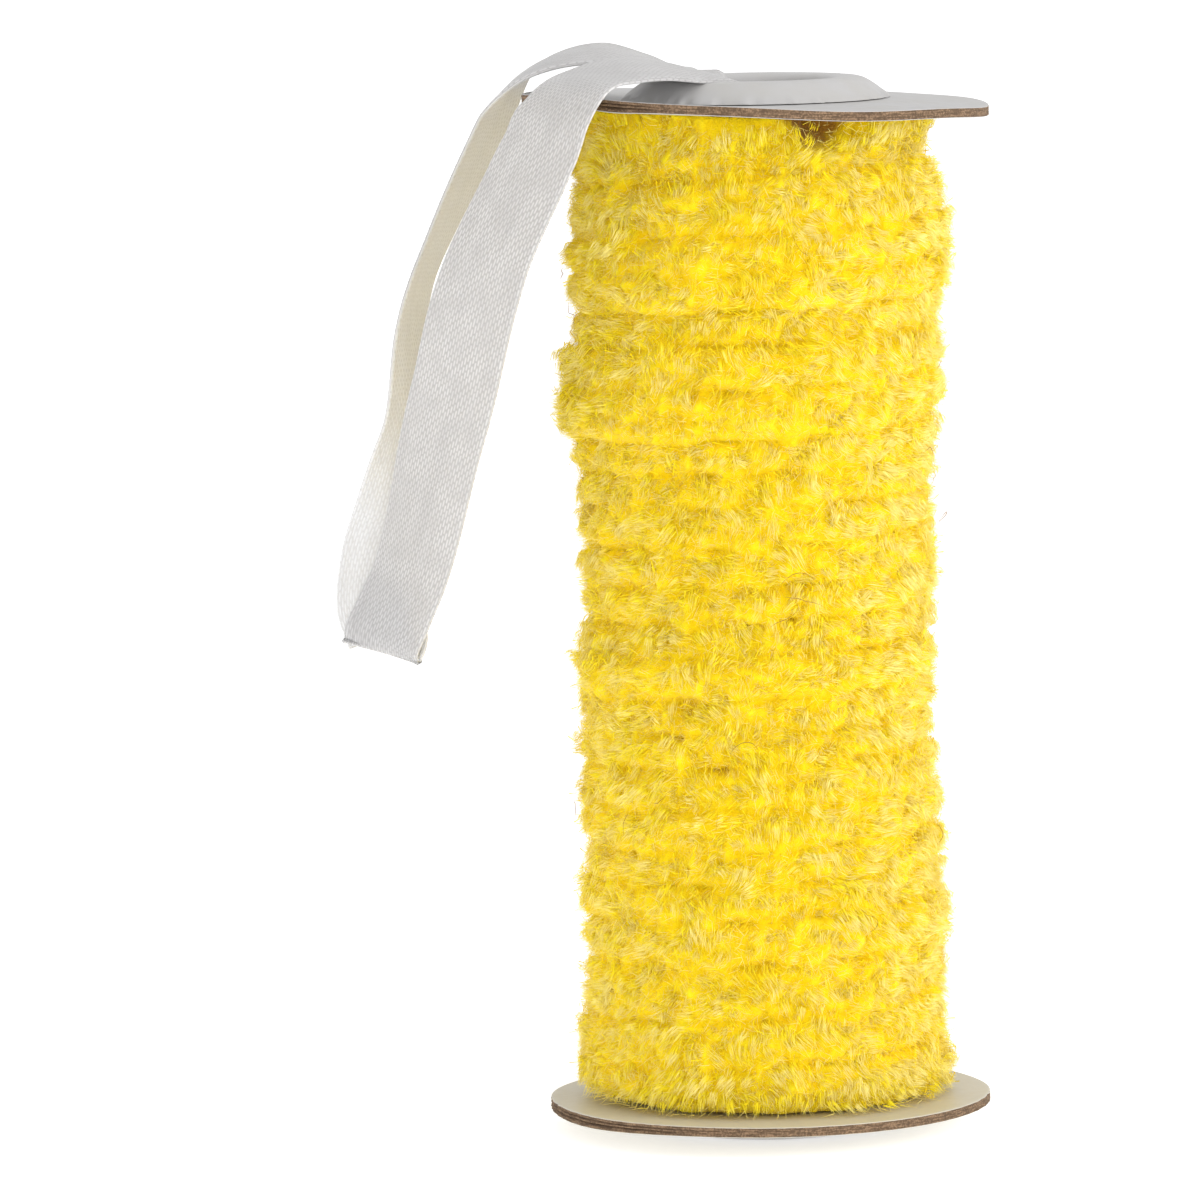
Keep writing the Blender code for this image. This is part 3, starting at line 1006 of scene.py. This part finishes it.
def build_short_pile():
    """Short fibres, matted between the tufts."""
    look = settings("trim_look")
    angles, heights, rng = scatter_locks(look.short_fibres, 71)
    count = len(angles)
    reach, part = winding_place(angles, heights)
    depth = valley(angles, heights, part)
    sunk = hollow(angles, heights)
    outward, upward, combed = combed_axes(angles, heights, part)
    lean = unit(0.5 * outward + combed + rng.normal(0, 0.45, (count, 3)))
    surface = reach - 0.55 - 1.3 * depth - 0.6 * sunk - OUT_OF_SIGHT * bare_patch(angles, heights)
    raised = raise_to_card(angles, heights)
    tip = outward * (surface + rng.uniform(-0.35, 0.2, count))[:, None] + upward * raised[:, None]
    root = tip - lean * rng.uniform(1.0, 1.8, (count, 1))
    root[..., 2] = np.maximum(root[..., 2], BOTTOM_FACE + ROOT_GAP)
    lowest = BOTTOM_FACE + rng.uniform(TIP_GAP, 1.0, count)
    tip[..., 2] = np.clip(tip[..., 2], lowest, card_ceiling(angles))
    # Painted shade in the seams and hollows
    dark = 0.5 * depth + 0.5 * sunk
    rise = np.stack([0.0 - dark, 0.55 - dark + rng.normal(0, 0.15, count)], axis=-1)
    tones = clamp(0.5 + rng.normal(0, 0.16, count))
    width = look.fibre_width * rng.uniform(1.0, 1.6, count)
    fibre_mesh("pile_short", root, tip, width, rise, tones, 76, pile_material("pile_short"))


def build_loose_fibres():
    """Fine loose fibres that stand proud of the pile and soften its outline."""
    look = settings("trim_look")
    angles, heights, rng = scatter_locks(look.loose_fibres, 51)
    count = len(angles)
    reach, part = winding_place(angles, heights)
    outward, upward, _ = combed_axes(angles, heights, part)
    lean = unit(outward + rng.normal(0, 0.5, (count, 3)))
    depth = look.seam_depth * valley(angles, heights, part)
    start = outward * (reach - depth - 0.9)[:, None] + upward * heights[:, None]
    tip = start + lean * rng.uniform(0.9, 1.9, (count, 1)) + rng.normal(0, 0.15, (count, 3))
    start[..., 2] = np.maximum(start[..., 2], BOTTOM_FACE + ROOT_GAP)
    tip[..., 2] = np.maximum(tip[..., 2], BOTTOM_FACE + TIP_GAP)
    width = np.full(count, LOOSE_WIDTH)
    rise = np.tile([0.6, 1.1], (count, 1))
    tones = rng.uniform(0.4, 1.0, count)
    fibre_mesh("loose_fibres", start, tip, width, rise, tones, 66, pile_material("loose_fibres"))


def build_stray_hairs():
    """A few thin dark hairs that curl over the pile and off its sides."""
    rng = np.random.default_rng(91)
    points = []
    faces = []
    for _ in range(settings("trim_look").hairs):
        angle = rng.uniform(0, 2 * math.pi)
        height = rng.uniform(8.0, 98.0)
        way = rng.uniform(0, 2 * math.pi)
        curl = rng.normal(0, 0.16)
        lift = rng.uniform(0.05, 0.9) * rng.choice((0.3, 1.0))
        step = rng.uniform(0.18, 0.42)
        for i in range(HAIR_STEPS):
            place = np.array([angle]), np.array([height])
            reach, part = winding_place(*place)
            arch = lift * math.sin(math.pi * i / (HAIR_STEPS - 1))
            radius = reach[0] - 0.35 * valley(*place, part)[0] + 0.3 + arch
            narrow = HAIR_HALF_WIDTH * math.sin(math.pi * (i + 0.6) / (HAIR_STEPS + 0.2))
            for out, side in ((0.0, -narrow), (0.0, narrow), (1.7 * narrow, 0.0)):
                across = (radius + out) * math.cos(angle), (radius + out) * math.sin(angle)
                points.append((*across, height + side))
            way += curl + rng.normal(0, 0.12)
            angle += step * math.cos(way) / radius
            height += step * math.sin(way)
        last = len(points)
        first = last - 3 * HAIR_STEPS
        faces += [tuple(first + i for i in face) for face in grid_faces(HAIR_STEPS, 3)]
        faces += [(first, first + 2, first + 1), (last - 3, last - 2, last - 1)]
    material = pile_material("stray_hairs")
    piece = new_piece("stray_hairs", points, faces, [material], "yarn_winding")
    add_values(piece.data, "rise", np.full(len(points), -1.5))
    add_values(piece.data, "tone", np.full(len(points), 0.3))


# Ribbon


def ribbon_frames(spans):
    """Middle line of the ribbon with its along, across and outward directions."""
    route = smooth_route(RIBBON_ROUTE, spans)
    places = route[:, :3]
    along = unit(np.gradient(places, axis=0))
    bearing = np.radians(route[:, 3])
    rise = np.radians(route[:, 4])
    level = np.cos(rise)
    across = np.stack([np.cos(bearing) * level, np.sin(bearing) * level, np.sin(rise)], axis=1)
    across = unit(across - along * np.sum(across * along, axis=1, keepdims=True))
    return places, along, across, np.cross(along, across)


def ribbon_shape(look, travelled, fold):
    """The ribbon's shares across, half thickness across, and rise of its edges row by row."""
    near_edge = [0.91, 0.95, 0.985, 1.0]
    shares = np.concatenate([np.negative(near_edge)[::-1], np.linspace(-0.86, 0.86, 21), near_edge])
    from_selvedge = np.abs(shares * (RIBBON_WIDTH / 2)) - SELVEDGE_PLACE
    selvedge = 1 + 0.35 * np.exp(-((from_selvedge / SELVEDGE_WIDTH) ** 2))
    thin = look.thickness / 2 * selvedge * np.sqrt(np.clip(1 - np.abs(shares) ** 60, 0.05, 1.0))
    wave = 0.12 * np.sin(travelled / 5.3 + 1.0) + 0.08 * np.sin(travelled / 2.9)
    from_end = np.minimum(travelled - IN_BORE, travelled[-1] - IN_BORE - travelled)
    hold = clamp(from_end / 12.0) * (1 - np.exp(-(((travelled - fold) / 3.0) ** 2)))
    cup = -look.cup * hold[:, None] * shares[None, :] ** 2
    cup = cup + (wave * hold)[:, None] * np.abs(shares)[None, :] ** 3
    return shares, thin, cup


def satin_material(name, ground, tint, strength, roughness, bump_distance):
    inputs = {"Across": "across_mm", "Along": "along_mm", "Strength": strength}
    # The floats are painted lighter than the ground, a painted highlight
    inputs.update({"Ground": ground, "Float": tinted(ground, tint)})
    return new_material(name, "Satin weave", inputs, {"Roughness": roughness, **THIN_CLOTH}, bump_distance)


def build_ribbon():
    look = settings("ribbon_look")
    places, along, across, outward = ribbon_frames(8)
    steps = np.linalg.norm(np.diff(places, axis=0), axis=1)
    travelled = np.concatenate([[0.0], np.cumsum(steps)])
    fold = travelled[np.argmin(places[:, 2])]
    shares, thin, cup = ribbon_shape(look, travelled, fold)
    half = RIBBON_WIDTH / 2
    sides = shares * half
    middle = places[:, None, :] + across[:, None, :] * sides[None, :, None]
    middle = middle + outward[:, None, :] * cup[..., None]
    skin = outward[:, None, :] * thin[None, :, None]
    loops = np.concatenate([middle + skin, (middle - skin)[:, ::-1]], axis=1)
    rows, columns = loops.shape[:2]
    faces = grid_faces(rows, columns)
    faces.append(tuple(range(columns))[::-1])
    faces.append(tuple((rows - 1) * columns + i for i in range(columns)))
    face_slots = np.concatenate([np.tile(np.repeat([0, 1], len(sides)), rows - 1), [1, 1]])
    materials = [
        satin_material("satin_face", look.satin, SHINE_TINT, 0.9, 0.35, 0.03),
        satin_material("satin_back", look.back, CELL_TINT, 0.8, 0.7, 0.04),
    ]
    points = loops.reshape(-1, 3)
    piece = new_piece("satin_ribbon", points, faces, materials, "ribbon_loop", face_slots)
    add_values(piece.data, "across_mm", np.tile(np.concatenate([sides, sides[::-1]]) + half, rows))
    add_values(piece.data, "along_mm", np.repeat(travelled, columns))


# Studio


def build_floor():
    far = FLOOR_REACH
    mesh = bpy.data.meshes.new("floor")
    mesh.from_pydata([(-far, -far, 0), (far, -far, 0), (far, far, 0), (-far, far, 0)], [], [(0, 1, 2, 3)])
    mesh.materials.append(plain_material("floor", FLOOR_FINISH)[0])
    new_object("floor", mesh)


def add_area_light(name, place, power, colour):
    """A round soft light, aimed at the middle of the spool."""
    light = bpy.data.lights.new(name, "AREA")
    light.shape = "DISK"
    light.size = LIGHT_SIZE
    light.energy = power
    light.color = colour
    lamp = new_object(name, light)
    lamp.location = place
    target = Vector((AXIS_X * MM, 0.0, LIGHT_TARGET_HEIGHT))
    lamp.rotation_euler = (target - Vector(place)).to_track_quat("-Z", "Y").to_euler()


def build_camera(look):
    """The camera at the photograph's height, distance and tilt."""
    forward = Vector((0, math.cos(look.pitch), -math.sin(look.pitch)))
    level = Vector((1, 0, 0))
    rise = level.cross(forward)
    right = level * math.cos(look.roll) - rise * math.sin(look.roll)
    up = level * math.sin(look.roll) + rise * math.cos(look.roll)
    turn = Matrix((right, up, -forward)).transposed().to_4x4()
    data = bpy.data.cameras.new("camera")
    data.lens = look.lens
    data.sensor_width = 36.0
    data.clip_end = 50.0
    camera = new_object("camera", data)
    place = Vector((look.aside + AXIS_X, -look.distance, look.height)) * MM
    camera.matrix_world = Matrix.Translation(place) @ turn
    bpy.context.scene.camera = camera


# Operators


class BuildStage(bpy.types.Operator):
    """Build the floor, the lights and the camera"""

    bl_idname = "trim_spool.build_stage"
    bl_label = "Build stage"

    def execute(self, context):
        look = settings("studio_look")
        build_camera(look)
        build_floor()
        add_area_light("key", KEY_PLACE, look.key, KEY_COLOUR)
        add_area_light("fill", FILL_PLACE, look.fill, FILL_COLOUR)
        world = bpy.data.worlds.new("even light")
        world.use_nodes = True
        background = world.node_tree.nodes["Background"]
        background.inputs["Color"].default_value = (1.0, 1.0, 1.0, 1.0)
        background.inputs["Strength"].default_value = look.sky
        context.scene.world = world
        context.scene.view_settings.view_transform = "Standard"
        return {"FINISHED"}


class BuildRibbon(bpy.types.Operator):
    """Build the satin hanging loop"""

    bl_idname = "trim_spool.build_ribbon"
    bl_label = "Build ribbon"

    def execute(self, context):
        build_ribbon()
        return {"FINISHED"}


class BuildSpool(bpy.types.Operator):
    """Build the card discs, the tube and its paper collars"""

    bl_idname = "trim_spool.build_spool"
    bl_label = "Build spool"

    def execute(self, context):
        card = settings("card_look")
        build_tube()
        build_disc(
            "card_disc_top", "disc_top", TOP_DISC_RADIUS, TOP_FACE, card_bend,
            math.radians(-128), math.radians(9), 60, card.paper)
        # The bottom card takes the paper painted creamier and lighter, as painted light bounced from the
        # pile
        build_disc(
            "card_disc_bottom", "disc_bottom", BOTTOM_DISC_RADIUS, BOTTOM_FACE, card_flat,
            math.radians(-150), math.radians(26), 80, card.painted_bounce_paper)
        return {"FINISHED"}


class BuildPile(bpy.types.Operator):
    """Build the wound pile"""

    bl_idname = "trim_spool.build_pile"
    bl_label = "Build pile"

    def execute(self, context):
        build_ground()
        build_short_pile()
        build_pile()
        build_loose_fibres()
        build_stray_hairs()
        return {"FINISHED"}


OPERATORS = (BuildStage, BuildRibbon, BuildSpool, BuildPile)


class TrimSpoolPanel(bpy.types.Panel):
    bl_idname = "VIEW3D_PT_trim_spool"
    bl_label = "Trim spool"
    bl_space_type = "VIEW_3D"
    bl_region_type = "UI"
    bl_category = "Trim spool"

    def draw(self, context):
        for operator in OPERATORS:
            self.layout.operator(operator.bl_idname)
        for name in LOOKS:
            box = self.layout.box()
            look = getattr(context.scene, name)
            for field in look.bl_rna.properties:
                if field.identifier not in {"rna_type", "name"}:
                    box.prop(look, field.identifier)


LOOKS = {
    "trim_look": TrimSettings,
    "card_look": CardSettings,
    "ribbon_look": RibbonSettings,
    "studio_look": StudioSettings,
}


def register():
    for kind in (*LOOKS.values(), *OPERATORS, TrimSpoolPanel):
        bpy.utils.register_class(kind)
    for name, kind in LOOKS.items():
        setattr(bpy.types.Scene, name, PointerProperty(type=kind))


def unregister():
    for name in LOOKS:
        delattr(bpy.types.Scene, name)
    for kind in (TrimSpoolPanel, *reversed(OPERATORS), *LOOKS.values()):
        bpy.utils.unregister_class(kind)


def main():
    register()
    bpy.ops.trim_spool.build_stage()
    bpy.ops.trim_spool.build_ribbon()
    bpy.ops.trim_spool.build_spool()
    bpy.ops.trim_spool.build_pile()


if __name__ == "__main__":
    main()
